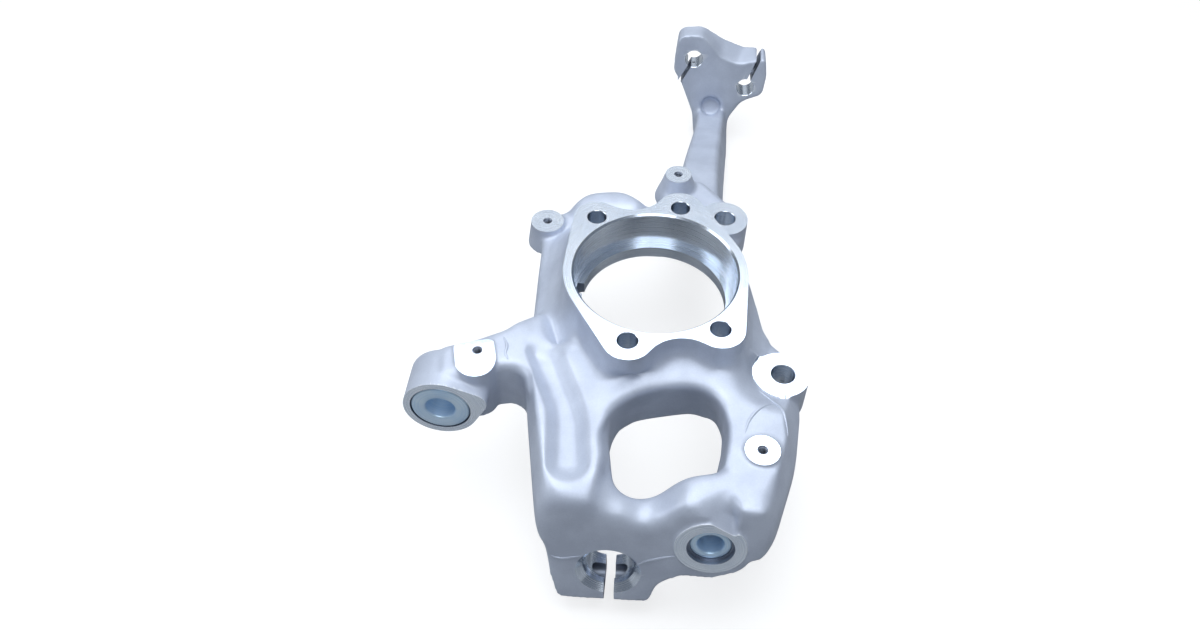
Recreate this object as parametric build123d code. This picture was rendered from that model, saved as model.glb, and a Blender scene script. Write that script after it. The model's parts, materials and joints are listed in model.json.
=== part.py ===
from build123d import *
import math
import os

# Frame: origin at the centre of the bearing bore in the machined hub face, +Z outboard along the
# hub axis, +Y towards the upper arm, +X towards the caliper bosses. Every length is in millimetres.

# Machined hub face and bearing seat
BEARING_D = 103.0
BEARING_DEPTH = 25.0
LIP_D = 92.5
LIP_THICK = 8.0
MOUTH_CHAMFER = 1.2
BACK_CLEAR_D = 97.0
BACK_FLARE_D = 126.0
HUB_RING_D = 116.0
HUB_BOLT_X = 56.3
HUB_BOLT_Y = 108.5
HUB_HOLE_D = 12.5
HUB_LOBE_R = 15.0
HUB_SCALLOP_Y = 57.2
HUB_SEAT_D = 19.0
HUB_SEAT_Z = -24.0
FLARE_STEPS = [(8.0, 3.0), (8.0, 12.0), (8.0, 26.0), (7.0, 42.0), (4.0, 55.0)]
SENSOR_SLOT_ANGLE = 161.0
SENSOR_SLOT_WIDE = 9.0
SENSOR_SLOT_REACH = 50.5

# Body around the hub
PLATE_FRONT_Z = -35.0
PLATE_BACK_Z = -50.0
PLATE_EDGE_R = 5.0
PLATE_OUTLINE = [
    (0, -80, 10), (70, -86, 10), (80, -60, 14), (65, -34, 14), (61, 40, 14), (80, 62, 14), (76, 92, 16),
    (62, 122, 10), (38, 124, 8), (28, 104, 8), (14, 99, 8), (3, 114, 16), (-25, 117, 16),
    (-42, 103, 12), (-60, 103, 14), (-64, 70, 10), (-70, 43, 30), (-79, 0, 20), (-84, -50, 8),
]

# Rounded rise behind the flange, towards the top of the body
HUMP_FRONT_Z = -26.0
HUMP_EDGE_R = 5.0
HUMP_OUTLINE = [
    (-38, 88, 8), (10, 84, 8), (16, 95, 7), (2, 112, 12), (-26, 114, 12), (-40, 101, 8),
]

# Caliper bosses
CALIPER_X = 66.0
CALIPER_BOSS_X = 65.0
CALIPER_PITCH = 142.0
CALIPER_HOLE_D = 14.5
CALIPER_BOSS_D = 34.0
CALIPER_FACE_Z = -29.5
CALIPER_BACK_Z = -56.0
CALIPER_SPOT_D = 36.5
CALIPER_SPOT_CLEAR = 14.0

# Lower frame around the window
FRAME_FRONT_Z = -21.0
FRAME_WAIST_Z = -40.0
FRAME_BACK_Z = -62.0
FRAME_TOP = [
    (-84, -30, 10), (-86, -70, 30), (-88, -133, 14), (-58, -142, 12), (-30, -158, 10), (12, -166, 4),
    (27, -169, 5), (33, -157, 10), (52, -122, 20), (56.5, -98, 14), (60, -62, 8), (30, -45, 10),
    (-40, -30, 10),
]
FRAME_WAIST = [
    (-88, -30, 10), (-91, -70, 40), (-96, -152, 6), (-58, -162, 6), (-30, -172, 6), (12, -183, 6),
    (23, -181, 8), (37, -166, 16), (57, -132, 30), (70, -98, 30), (80, -62, 8), (30, -45, 10),
    (-40, -30, 10),
]
WINDOW = [
    (-47, -102, 30), (-50, -136, 11), (-28, -139, 22), (-10, -132, 18), (14, -134, 9), (22, -112, 20),
    (28, -90, 14), (18, -69, 16), (-40, -70, 18),
]
WINDOW_BACK = [
    (-47, -102, 30), (-49, -129, 11), (-28, -131, 22), (-10, -125, 18), (6, -126, 9), (18, -108, 20),
    (25, -90, 14), (18, -69, 16), (-40, -70, 18),
]
WINDOW_RIM_DEPTH = 10.0
WINDOW_RIM_TAPER = 30.0
POCKET = [
    (-90, -25.5, 9), (-80, -80, 45), (-88.5, -130, 11), (-62.5, -131.5, 12), (-56.5, -86, 70),
    (-66.5, -25, 10),
]
SILL_OUTLINE = [
    (-13, 75, 2), (-7.5, 48, 4), (7, 48.5, 10), (20, 35, 12), (41, 56, 20), (62, 80, 4),
]
SILL_BACK_OUTLINE = [
    (-8, 82, 2), (3, 60, 4), (12, 57, 6), (22, 43, 12), (41, 63, 20), (62, 87, 4),
]
SILL_AHEAD = 8.0
SILL_LONG = 60.0
SCOOP_CORNERS = [(-30, -160, -20), (8, -149, -20), (0, -164, -32)]
SCOOP_WALL_X = 12.5
POCKET_DEPTH = 6.5
POCKET_SLOPE = 7.0

# Kingpin direction, pointing down and out of the faces of the lower joints and the upper clamps
KINGPIN = Vector(-0.2503, -0.9512, 0.1802)

# Bottom flange, drawn in the plane square to the kingpin direction
CLAMP_AT = (-56.5, -157.5, -80.0)
FLANGE_THICK = 25.0
FLANGE_OUTLINE = [
    (-40.5, 48, 6), (-36, 7, 30), (-30.5, -26, 5), (23, -26, 4), (28.5, -9, 12), (42, 0, 12),
    (59, -1.5, 16), (75, 6, 18), (86, 22, 16), (92, 48, 8),
]
CLAMP_BORE_D = 30.0
CLAMP_MOUTH_D = 38.0
CLAMP_MOUTH_DEPTH = 4.0
CLAMP_SLIT = 6.0
CLAMP_BOLT_D = 10.5
CLAMP_BOLT_DROP = 16.0
CLAMP_BOLT_LONG = 90.0

# Ball-joint sleeve and its boss in the bottom flange
JOINT_AT = (57.5, 26.5)
JOINT_BOSS_D = 40.0
JOINT_BOSS_PROUD = 1.5
JOINT_COUNTERBORE_D = 26.5
JOINT_COUNTERBORE_DEPTH = 1.5
JOINT_SLEEVE_D = 23.6
JOINT_BORE_D = 15.0
SLEEVE_CHAMFER = 0.8
SEAT_CLEARANCE = 0.01

# Tie-rod arm, its boss and its sleeve
TIE_AXIS = Vector(-0.257, -0.966, 0.013)
TIE_AT = (-142.2, -51.3, -46.0)
TIE_BOSS_D = 46.0
TIE_BOSS_LONG = 30.0
CHEEK_AT = (20.0, 7.0)
CHEEK_R = 9.0
CHEEK_LONG = 24.0
TIE_SLEEVE_D = 36.0
TIE_SLEEVE_GROOVE = 0.65
TIE_GROOVE_DEPTH = 3.0
TIE_BORE_D = 18.4
TIE_ARM_FRONT_Z = -22.0
TIE_ARM_BACK_Z = -61.0
TIE_ARM_EDGE_R = 6.0
TIE_BOSS_EDGE_R = 4.0
TIE_ARM_OUTLINE = [
    (-70, 3, 4), (-84, -4, 14), (-98, -12.5, 20), (-116, -17.5, 20), (-140, -20.5, 8), (-143, -46, 6),
    (-120, -49, 8), (-106, -43, 10), (-89.5, -43, 13), (-89.5, -66, 6), (-66, -66, 8),
]
PAD_AT = (-117.5, -38.5)
PAD_D = 23.4
PAD_TOP_Y = -23.6
PAD_Z = -21.0
PAD_HOLE_AT = (-115.7, -29.7)

# Small tapped bosses: position, diameter, face height, foot height and growth of the foot's radius
TAP_HOLE_D = 5.0
TAP_DEPTH = 14.0
DRILL_TIP = 0.29
TAP_BOSSES = [
    ((-57.1, 88.4), 22.8, -30.0, -50.0, 3.0),
    ((42.4, 116.5), 18.4, -24.0, -48.0, 9.0),
    ((35.2, -129.5), 20.0, -19.0, -30.0, 0.5),
]

# Upper arm, given by its front-face centres and section sizes from the hub up to the head
ARM_SECTIONS = [
    ((49, 82, -33), 32.0, 46.0, 22.0),
    ((58, 112, -42), 28.0, 40.0, 27.0),
    ((82, 190, -66), 25.0, 39.0, 27.0),
    ((105, 254, -85), 22.0, 33.0, 27.0),
    ((114, 284, -93), 24.0, 32.0, 24.0),
]

ARM_FRONT_R = 4.0
ARM_BACK_R = 5.0

# Head plate with the two split clamps, drawn in a plane square to the kingpin direction
HEAD_AT = (112.2, 277.6, -90.0)
HEAD_THICK = 22.0
HEAD_OUTLINE = [
    (-33.5, 35, 8), (-27, 24, 6), (-16, -6, 16), (-14.5, -27, 5), (14.5, -27, 5), (16, -10, 16),
    (27, 6, 12), (44.5, 13, 8), (47, 30, 8), (45.5, 46.5, 4), (22, 41, 14), (6, 48, 20), (-9, 66.5, 12),
    (-29.5, 66, 8),
]
HEAD_BACK_OUTLINE = [
    (-33.5, 35, 8), (-27, 24, 6), (-16, -6, 16), (-14.5, -27, 5), (14.5, -27, 5), (16, -10, 16),
    (27, 6, 12), (44.5, 13, 8), (47, 30, 8), (45.5, 48, 4), (27, 49, 14), (9, 56, 20), (-9, 67, 12),
    (-29.5, 66, 8),
]
HEAD_BORE_D = 15.0
HEAD_LEFT = (-16.2, 45.5)
HEAD_RIGHT = (29.2, 20.1)
HEAD_SLOT = 3.2
HEAD_LEFT_SLOT_ANGLE = 240.0
HEAD_RIGHT_SLOT_ANGLE = 68.0
HEAD_SLOT_LONG = 45.0
HEAD_BOLT_D = 10.5
HEAD_BOLT_B = 32.9
DISH_D = 17.0
DISH_REACH = 4.0
DISH_LONG = 50.0
DISH_TILT = 22.0

# Room that cutting volumes have: past a face they only skim, past a face they run through, right
# through the part, and round the whole of it
SKIM = 1.0
OVERRUN = 5.0
THROUGH = 100.0
FAR = 400.0
OVER = (Align.CENTER, Align.CENTER, Align.MIN)
UNDER = (Align.CENTER, Align.CENTER, Align.MAX)


def outline(points):
    """Closed face through (x, y, corner radius) points, each corner rounded by its own radius."""
    arcs = []
    for i, (x, y, r) in enumerate(points):
        corner = Vector(x, y)
        back = (Vector(*points[i - 1][:2]) - corner).normalized()
        ahead = (Vector(*points[(i + 1) % len(points)][:2]) - corner).normalized()
        half = math.radians(back.get_angle(ahead)) / 2
        run = r / math.tan(half)
        middle = corner + (back + ahead).normalized() * (r / math.sin(half) - r)
        arcs.append((corner + back * run, middle, corner + ahead * run))
    edges = []
    for i, (start, middle, end) in enumerate(arcs):
        edges.append(Edge.make_three_point_arc(start, middle, end))
        edges.append(Edge.make_line(end, arcs[(i + 1) % len(arcs)][0]))
    return Face(Wire(edges))


def inset(points, by):
    """The same outline drawn in by one distance all round, its corner radii following."""
    moved = []
    for i, (x, y, r) in enumerate(points):
        corner = Vector(x, y)
        back = (Vector(*points[i - 1][:2]) - corner).normalized()
        ahead = (Vector(*points[(i + 1) % len(points)][:2]) - corner).normalized()
        step = by if ahead.cross(back).Z > 0 else -by
        corner += (back + ahead).normalized() * step / math.sin(math.radians(back.get_angle(ahead)) / 2)
        moved.append((corner.X, corner.Y, r - step))
    return moved


def joint_plane(origin, along=KINGPIN):
    """Plane square to a joint axis, its z out of the joint face and its x as near +X as that allows."""
    x_dir = (Vector(1, 0, 0) - along * along.X / along.dot(along)).normalized()
    return Plane(origin=origin, x_dir=x_dir, z_dir=along)


def front_edges(solid, z):
    """Edges of a solid lying in the plane at height z."""
    return solid.edges().filter_by(lambda e: all(abs(v.Z - z) < 0.01 for v in e.vertices()))


def hub_outline():
    """Machined hub face: a ring with four bolt lobes and a scallop between each end pair."""
    lobe, ring_r = Vector(HUB_BOLT_X / 2, HUB_BOLT_Y / 2), HUB_RING_D / 2
    run = lobe.Y - HUB_SCALLOP_Y
    scallop_r = (lobe.X**2 + run**2 - HUB_LOBE_R**2) / (2 * (HUB_LOBE_R + run))
    scallop = Vector(0, HUB_SCALLOP_Y + scallop_r)
    lean = math.atan2(lobe.Y, lobe.X) - math.acos((ring_r - HUB_LOBE_R) / lobe.length)
    out = Vector(math.cos(lean), math.sin(lean))
    side, shoulder = out * ring_r, lobe + out * HUB_LOBE_R
    tip, touch = lobe + lobe.normalized() * HUB_LOBE_R, lobe + (scallop - lobe).normalized() * HUB_LOBE_R
    edges = []
    for sx, sy in ((1, 1), (-1, 1), (-1, -1), (1, -1)):
        a, b, c, d = (Vector(p.X * sx, p.Y * sy) for p in (side, shoulder, tip, touch))
        edges += [Edge.make_line(a, b), Edge.make_three_point_arc(b, c, d)]
    for sign in (-1, 1):
        left, right = Vector(-touch.X, touch.Y * sign), Vector(touch.X, touch.Y * sign)
        edges.append(Edge.make_three_point_arc(left, Vector(0, HUB_SCALLOP_Y * sign), right))
        low, high = Vector(side.X * sign, -side.Y), Vector(side.X * sign, side.Y)
        edges.append(Edge.make_three_point_arc(low, Vector(ring_r * sign, 0), high))
    return Face(Wire(edges))


def hub():
    """Hub lobes from the machined face down, flaring into the body."""
    face = hub_outline()
    solid = None
    for drop, taper in FLARE_STEPS:
        layer = extrude(face, amount=drop, dir=(0, 0, -1), taper=-taper)
        face = layer.faces().sort_by(Axis.Z)[0]
        solid = layer if solid is None else solid + layer
    foot = extrude(face, amount=PLATE_FRONT_Z - PLATE_BACK_Z, dir=(0, 0, -1))
    limit = Pos(0, 0, PLATE_BACK_Z) * extrude(outline(PLATE_OUTLINE), amount=-PLATE_BACK_Z)
    return (solid + foot) & limit


def upper_plate():
    """Body plate around the hub with a rounded outer edge."""
    plate = Pos(0, 0, PLATE_BACK_Z) * extrude(outline(PLATE_OUTLINE), amount=PLATE_FRONT_Z - PLATE_BACK_Z)
    return fillet(front_edges(plate, PLATE_FRONT_Z), PLATE_EDGE_R)


def hump():
    """Rounded rise on the body plate behind the flange."""
    block = Pos(0, 0, PLATE_BACK_Z) * extrude(outline(HUMP_OUTLINE), amount=HUMP_FRONT_Z - PLATE_BACK_Z)
    return fillet(front_edges(block, HUMP_FRONT_Z), HUMP_EDGE_R)


def lower_frame():
    """Frame between hub, tie-rod arm and bottom flange, its outer edges sloped back from the front."""
    top = Pos(0, 0, FRAME_FRONT_Z) * outline(FRAME_TOP)
    waist = Pos(0, 0, FRAME_WAIST_Z) * outline(FRAME_WAIST)
    slope = loft([Sketch() + waist, Sketch() + top], ruled=True)
    foot = Pos(0, 0, FRAME_BACK_Z) * extrude(outline(FRAME_WAIST), amount=FRAME_WAIST_Z - FRAME_BACK_Z)
    under = joint_plane(CLAMP_AT) * Box(FAR, FAR, FAR, align=OVER)
    return slope + foot - under


def bottom_flange():
    """Thick flange that carries the pinch clamp and the lower ball joint."""
    plane = joint_plane(CLAMP_AT)
    slab = extrude(plane * outline(FLANGE_OUTLINE), amount=-FLANGE_THICK)
    boss = plane * Pos(*JOINT_AT, JOINT_BOSS_PROUD) * Cylinder(
        JOINT_BOSS_D / 2, FLANGE_THICK + JOINT_BOSS_PROUD, align=UNDER
    )
    return slab + boss


def tie_rod_arm():
    """Arm and boss for the tie rod."""
    arm = Pos(0, 0, TIE_ARM_BACK_Z) * extrude(
        outline(TIE_ARM_OUTLINE), amount=TIE_ARM_FRONT_Z - TIE_ARM_BACK_Z
    )
    arm = fillet(front_edges(arm, TIE_ARM_FRONT_Z), TIE_ARM_EDGE_R)
    boss = joint_plane(TIE_AT, TIE_AXIS) * Cylinder(TIE_BOSS_D / 2, TIE_BOSS_LONG, align=UNDER)
    boss = fillet(boss.edges().sort_by(Axis.Y)[-1], TIE_BOSS_EDGE_R)
    cheek = make_hull((Circle(TIE_BOSS_D / 2) + Pos(*CHEEK_AT) * Circle(CHEEK_R)).edges())
    cheek = extrude(joint_plane(TIE_AT, TIE_AXIS) * cheek, amount=-CHEEK_LONG)
    pad_long = PAD_TOP_Y - PAD_AT[1]
    pad = Circle(PAD_D / 2) + Pos(0, pad_long / 2) * Rectangle(PAD_D, pad_long)
    pad = Pos(*PAD_AT, TIE_ARM_BACK_Z) * extrude(pad, amount=PAD_Z - TIE_ARM_BACK_Z)
    return arm + boss + cheek + pad


def caliper_bosses():
    """Two bosses that take the brake caliper bolts."""
    boss = Cylinder(CALIPER_BOSS_D / 2, CALIPER_FACE_Z - CALIPER_BACK_Z, align=OVER)
    return [Pos(CALIPER_BOSS_X, side * CALIPER_PITCH / 2, CALIPER_BACK_Z) * boss for side in (-1, 1)]


def tap_bosses():
    """Small round bosses with a machined face and a tapped hole."""
    return [
        Pos(*at, foot) * Cone(wide / 2 + flare, wide / 2, face - foot, align=OVER)
        for at, wide, face, foot, flare in TAP_BOSSES
    ]


def upper_arm():
    """Arm from the body to the head, its section narrower in front than behind."""
    points = [Vector(*section[0]) for section in ARM_SECTIONS]
    way = (points[0] - points[-1]).normalized()
    sections = []
    for point, (_, front, back, deep) in zip(points, ARM_SECTIONS):
        plane = joint_plane(point, way)
        rim = [
            (-back / 2, -deep, ARM_BACK_R), (back / 2, -deep, ARM_BACK_R),
            (front / 2, 0, ARM_FRONT_R), (-front / 2, 0, ARM_FRONT_R),
        ]
        sections.append(Sketch() + plane * outline(rim))
    return loft(sections)


def head_plate():
    """Plate across the top of the arm that carries the two upper clamps."""
    plane = joint_plane(HEAD_AT)
    front = plane * outline(HEAD_OUTLINE)
    back = plane * Pos(0, 0, -HEAD_THICK) * outline(HEAD_BACK_OUTLINE)
    return loft([Sketch() + back, Sketch() + front], ruled=True)


def bearing_seat():
    """Volume of the bearing bore, its mouth chamfer, the lip and the clearance behind it."""
    deep, lip_end = BEARING_DEPTH, BEARING_DEPTH + LIP_THICK
    r, lip_r, clear_r = BEARING_D / 2, LIP_D / 2, BACK_CLEAR_D / 2
    profile = Polyline(
        (0, SKIM), (r + MOUTH_CHAMFER + SKIM, SKIM), (r, -MOUTH_CHAMFER), (r, -deep), (lip_r, -deep),
        (lip_r, -lip_end), (clear_r, -lip_end), (BACK_FLARE_D / 2, PLATE_BACK_Z),
        (BACK_FLARE_D / 2, -THROUGH), (0, -THROUGH), close=True,
    )
    seat = revolve(Plane.XZ * make_face(profile), Axis.Z)
    slot = Pos(SENSOR_SLOT_REACH / 2, 0, -deep - LIP_THICK / 2) * Box(
        SENSOR_SLOT_REACH, SENSOR_SLOT_WIDE, LIP_THICK
    )
    return seat + Rot(0, 0, SENSOR_SLOT_ANGLE) * slot


def drill(plane, diameter, deep, tip=True):
    """Volume of a drilled hole that starts in a plane and runs along its negative z."""
    hole = Pos(0, 0, SKIM) * Cylinder(diameter / 2, deep + SKIM, align=UNDER)
    if tip:
        hole = hole + Pos(0, 0, -deep) * Cone(0, diameter / 2, diameter * DRILL_TIP, align=UNDER)
    return plane * hole


def hub_holes():
    """Four hub bolt holes with spot faces behind."""
    tools = []
    for sx in (-1, 1):
        for sy in (-1, 1):
            at = Pos(sx * HUB_BOLT_X / 2, sy * HUB_BOLT_Y / 2, 0)
            tools.append(at * drill(Plane.XY, HUB_HOLE_D, THROUGH, tip=False))
            tools.append(at * Pos(0, 0, HUB_SEAT_Z) * Cylinder(HUB_SEAT_D / 2, THROUGH, align=UNDER))
    return tools


def caliper_holes():
    """Caliper bolt holes and the machined faces round them."""
    tools = []
    for side in (-1, 1):
        at = Pos(CALIPER_X, side * CALIPER_PITCH / 2, CALIPER_FACE_Z)
        tools.append(at * drill(Plane.XY, CALIPER_HOLE_D, THROUGH, tip=False))
        tools.append(at * Cylinder(CALIPER_SPOT_D / 2, CALIPER_SPOT_CLEAR, align=OVER))
    return tools


def tap_holes():
    """Blind tapped holes in the small bosses and in the pad of the tie-rod arm."""
    places = [(*at, face) for at, _, face, _, _ in TAP_BOSSES] + [(*PAD_HOLE_AT, PAD_Z)]
    return [Pos(*place) * drill(Plane.XY, TAP_HOLE_D, TAP_DEPTH) for place in places]


def window():
    """Window through the lower frame, opening out to its front rim."""
    back = Pos(0, 0, FRAME_BACK_Z) * outline(WINDOW_BACK)
    face = Pos(0, 0, FRAME_FRONT_Z - WINDOW_RIM_DEPTH) * outline(WINDOW)
    throat = loft([Sketch() + back, Sketch() + face], ruled=True)
    rim = extrude(face, amount=WINDOW_RIM_DEPTH + OVERRUN, dir=(0, 0, 1), taper=-WINDOW_RIM_TAPER)
    return extrude(back, amount=THROUGH, dir=(0, 0, -1)) + throat + rim


def sill():
    """Hollow that lowers the window sill towards the bottom flange, rising to the back."""
    plane = joint_plane(CLAMP_AT)
    front = plane * Pos(0, 0, SILL_AHEAD) * outline(SILL_OUTLINE)
    back = plane * Pos(0, 0, SILL_AHEAD - SILL_LONG) * outline(SILL_BACK_OUTLINE)
    return loft([Sketch() + back, Sketch() + front], ruled=True)


def scoop():
    """Sloping relief over the ball-joint boss, ending in a step on its right."""
    a, b, c = (Vector(*corner) for corner in SCOOP_CORNERS)
    out = (b - a).cross(c - a).normalized()
    if out.Z < 0:
        out = -out
    slope = Plane(origin=b, x_dir=(b - a).normalized(), z_dir=out) * Box(FAR, FAR, FAR, align=OVER)
    return slope & Pos(SCOOP_WALL_X, 0, 0) * Box(FAR, FAR, FAR, align=(Align.MAX, Align.MAX, Align.CENTER))


def pocket():
    """Shallow pocket with sloped walls down the front of the column under the tie-rod arm."""
    over = POCKET_SLOPE * SKIM / POCKET_DEPTH
    top = Pos(0, 0, FRAME_FRONT_Z + SKIM) * outline(inset(POCKET, -over))
    floor = Pos(0, 0, FRAME_FRONT_Z - POCKET_DEPTH) * outline(inset(POCKET, POCKET_SLOPE))
    return loft([Sketch() + floor, Sketch() + top], ruled=True)


def clamp_cuts():
    """Bore, mouth, slit and pinch bolt hole of the bottom clamp."""
    plane = joint_plane(CLAMP_AT)
    r, mouth_r = CLAMP_BORE_D / 2, CLAMP_MOUTH_D / 2
    bore = plane * Pos(0, 0, OVERRUN) * Cylinder(r, THROUGH, align=UNDER)
    mouth = plane * Cone(r, mouth_r, CLAMP_MOUTH_DEPTH, align=UNDER)
    slit = plane * Pos(0, 0, OVERRUN) * Box(
        CLAMP_SLIT, THROUGH, THROUGH, align=(Align.CENTER, Align.MAX, Align.MAX)
    )
    bolt = plane * Pos(0, -CLAMP_BOLT_DROP, -FLANGE_THICK / 2) * Rot(0, 90, 0) * Cylinder(
        CLAMP_BOLT_D / 2, CLAMP_BOLT_LONG
    )
    return [bore, mouth, slit, bolt]


def joint_cuts():
    """Seat of the lower ball-joint sleeve."""
    plane = joint_plane(CLAMP_AT) * Pos(*JOINT_AT, 0)
    seat_r, step_r = JOINT_SLEEVE_D / 2 + SEAT_CLEARANCE, JOINT_COUNTERBORE_D / 2
    seat = plane * Pos(0, 0, OVERRUN) * Cylinder(seat_r, THROUGH, align=UNDER)
    step = plane * Pos(0, 0, OVERRUN) * Cylinder(step_r, JOINT_COUNTERBORE_DEPTH + OVERRUN, align=UNDER)
    return [seat, step]


def tie_rod_cuts():
    """Seat of the tie-rod sleeve with a shallow groove round its mouth."""
    plane = joint_plane(TIE_AT, TIE_AXIS)
    seat_r, seat_long = TIE_SLEEVE_D / 2 + SEAT_CLEARANCE, TIE_BOSS_LONG + 2 * OVERRUN
    seat = plane * Pos(0, 0, OVERRUN) * Cylinder(seat_r, seat_long, align=UNDER)
    groove = plane * Cylinder(TIE_SLEEVE_D / 2 + TIE_SLEEVE_GROOVE, TIE_GROOVE_DEPTH, align=UNDER)
    return [seat, groove]


def head_cuts():
    """Clamp bores, slots and the shared pinch bolt hole of the head."""
    plane = joint_plane(HEAD_AT)
    tools = []
    for (a, b), angle in ((HEAD_LEFT, HEAD_LEFT_SLOT_ANGLE), (HEAD_RIGHT, HEAD_RIGHT_SLOT_ANGLE)):
        at = plane * Pos(a, b, -HEAD_THICK / 2)
        tools.append(at * Cylinder(HEAD_BORE_D / 2, HEAD_THICK + 2 * OVERRUN))
        tools.append(at * Rot(0, 0, angle) * Pos(HEAD_SLOT_LONG / 2, 0, 0) * Box(
            HEAD_SLOT_LONG, HEAD_SLOT, HEAD_THICK + 2 * OVERRUN
        ))
    bolt = plane * Pos(0, HEAD_BOLT_B, -HEAD_THICK / 2) * Rot(0, 90, 0) * Cylinder(HEAD_BOLT_D / 2, 2 * THROUGH)
    dish = plane * Pos(0, 0, -DISH_REACH) * Rot(-DISH_TILT, 0, 0) * Cylinder(DISH_D / 2, DISH_LONG, align=OVER)
    return [*tools, bolt, dish]


def knuckle_casting():
    """The one casting: all limbs joined, then the machined seats and holes cut."""
    lower = (lower_frame() - scoop()) + (bottom_flange() - scoop()) - sill()
    solid = hub() + upper_plate() + hump() + lower + tie_rod_arm()
    for limb in [*caliper_bosses(), *tap_bosses(), upper_arm(), head_plate()]:
        solid = solid + limb
    cuts = [bearing_seat(), window(), pocket(), *hub_holes(), *caliper_holes(), *tap_holes()]
    cuts += [*clamp_cuts(), *joint_cuts(), *tie_rod_cuts(), *head_cuts()]
    for cut in cuts:
        solid = solid - cut
    return solid


def sleeve(plane, outer, inner, long):
    """Pressed-in steel sleeve with small chamfers at both mouths of its bore."""
    tube = Cylinder(outer / 2, long, align=UNDER) - Cylinder(inner / 2, long, align=UNDER)
    tube = chamfer(tube.edges().filter_by(GeomType.CIRCLE), SLEEVE_CHAMFER)
    return plane * tube


def tie_rod_sleeve():
    """Steel sleeve in the tie-rod boss, flush with its face."""
    return sleeve(joint_plane(TIE_AT, TIE_AXIS), TIE_SLEEVE_D, TIE_BORE_D, TIE_BOSS_LONG)


def ball_joint_sleeve():
    """Steel sleeve for the lower ball joint, set back in its counterbore."""
    plane = joint_plane(CLAMP_AT) * Pos(*JOINT_AT, -JOINT_COUNTERBORE_DEPTH)
    return sleeve(plane, JOINT_SLEEVE_D, JOINT_BORE_D, FLANGE_THICK - JOINT_COUNTERBORE_DEPTH)


def main():
    os.makedirs("parts", exist_ok=True)
    for make in (knuckle_casting, tie_rod_sleeve, ball_joint_sleeve):
        export_step(make(), f"parts/{make.__name__}.step")


main()
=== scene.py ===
# %% [markdown]
# # A steering knuckle, from rough casting to machined part
# A steering knuckle carries the wheel bearing, the brake caliper and the joints of the suspension.
# It is poured as one aluminium casting, blasted to an even satin skin, and then milled and drilled
# where other parts bolt on. This lesson follows the same order: a rough casting with stock left on,
# a smooth cast skin, the machining cuts, the pressed-in sleeves, and last the finishes and the light.

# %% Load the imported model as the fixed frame
import bpy
import bmesh
import json
import math
from mathutils import Matrix, Vector, kdtree

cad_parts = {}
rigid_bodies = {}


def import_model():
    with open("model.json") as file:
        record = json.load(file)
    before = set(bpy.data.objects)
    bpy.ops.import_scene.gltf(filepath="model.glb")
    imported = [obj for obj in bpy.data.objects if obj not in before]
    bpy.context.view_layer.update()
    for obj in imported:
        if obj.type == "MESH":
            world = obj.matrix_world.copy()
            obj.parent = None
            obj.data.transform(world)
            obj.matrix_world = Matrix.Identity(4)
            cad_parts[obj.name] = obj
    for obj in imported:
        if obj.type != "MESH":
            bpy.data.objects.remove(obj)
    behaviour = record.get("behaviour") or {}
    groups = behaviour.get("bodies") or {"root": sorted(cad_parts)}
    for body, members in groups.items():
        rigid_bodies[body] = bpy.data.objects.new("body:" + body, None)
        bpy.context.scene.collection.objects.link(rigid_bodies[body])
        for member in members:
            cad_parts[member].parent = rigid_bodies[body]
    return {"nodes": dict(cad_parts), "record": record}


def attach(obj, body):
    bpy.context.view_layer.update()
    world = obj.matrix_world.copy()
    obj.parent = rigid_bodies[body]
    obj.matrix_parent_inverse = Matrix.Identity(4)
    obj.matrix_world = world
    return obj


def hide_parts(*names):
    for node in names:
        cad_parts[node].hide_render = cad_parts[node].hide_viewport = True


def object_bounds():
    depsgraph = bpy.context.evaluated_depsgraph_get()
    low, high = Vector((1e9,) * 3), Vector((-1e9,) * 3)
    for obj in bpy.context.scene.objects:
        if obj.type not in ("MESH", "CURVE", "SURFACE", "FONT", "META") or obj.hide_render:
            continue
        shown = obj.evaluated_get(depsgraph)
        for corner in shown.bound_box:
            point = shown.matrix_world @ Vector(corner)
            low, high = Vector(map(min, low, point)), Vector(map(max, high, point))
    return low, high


for leftover in list(bpy.data.objects):
    bpy.data.objects.remove(leftover)
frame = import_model()
CAD_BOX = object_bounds()
MM = 0.001
MOUNTS = {mount["name"]: mount for mount in frame["record"]["mounts"]}
print("pieces:", sorted(frame["nodes"]), "size in mm:", [round(s / MM) for s in CAD_BOX[1] - CAD_BOX[0]])

# %% [markdown]
# ## The camera
# The photograph looks down on the part from its lower side, about 48 degrees above the hub face.
# A camera could be placed by eye, but then no outline could be trusted. So its lens and place were
# worked out from the round holes, which are ellipses of known shape in the picture. The camera comes
# first, so that every later step can be judged by it.

# %% Camera at the photograph's viewing angle
CAMERA_AT = Vector((-112.8, -428.8, 445.2)) * MM
CAMERA_PITCH = math.radians(47.82)
CAMERA_HEADING = math.radians(-10.295)
CAMERA_ROLL = math.radians(0.92)
LENS_MM = 30.06
SENSOR_MM = 36
camera = bpy.data.objects.new("camera", bpy.data.cameras.new("camera"))
bpy.context.scene.collection.objects.link(camera)
bpy.context.scene.camera = camera
camera.data.lens = LENS_MM
camera.data.sensor_width = SENSOR_MM
camera.data.clip_start = 0.01
heading = Matrix.Rotation(CAMERA_HEADING, 4, "Z")
tip = Matrix.Rotation(math.pi / 2 - CAMERA_PITCH, 4, "X")
roll = Matrix.Rotation(CAMERA_ROLL, 4, "Z")
camera.matrix_world = Matrix.Translation(CAMERA_AT) @ heading @ tip @ roll
print("camera looks along", [round(c, 3) for c in camera.matrix_world.to_3x3() @ Vector((0, 0, -1))])

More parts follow.
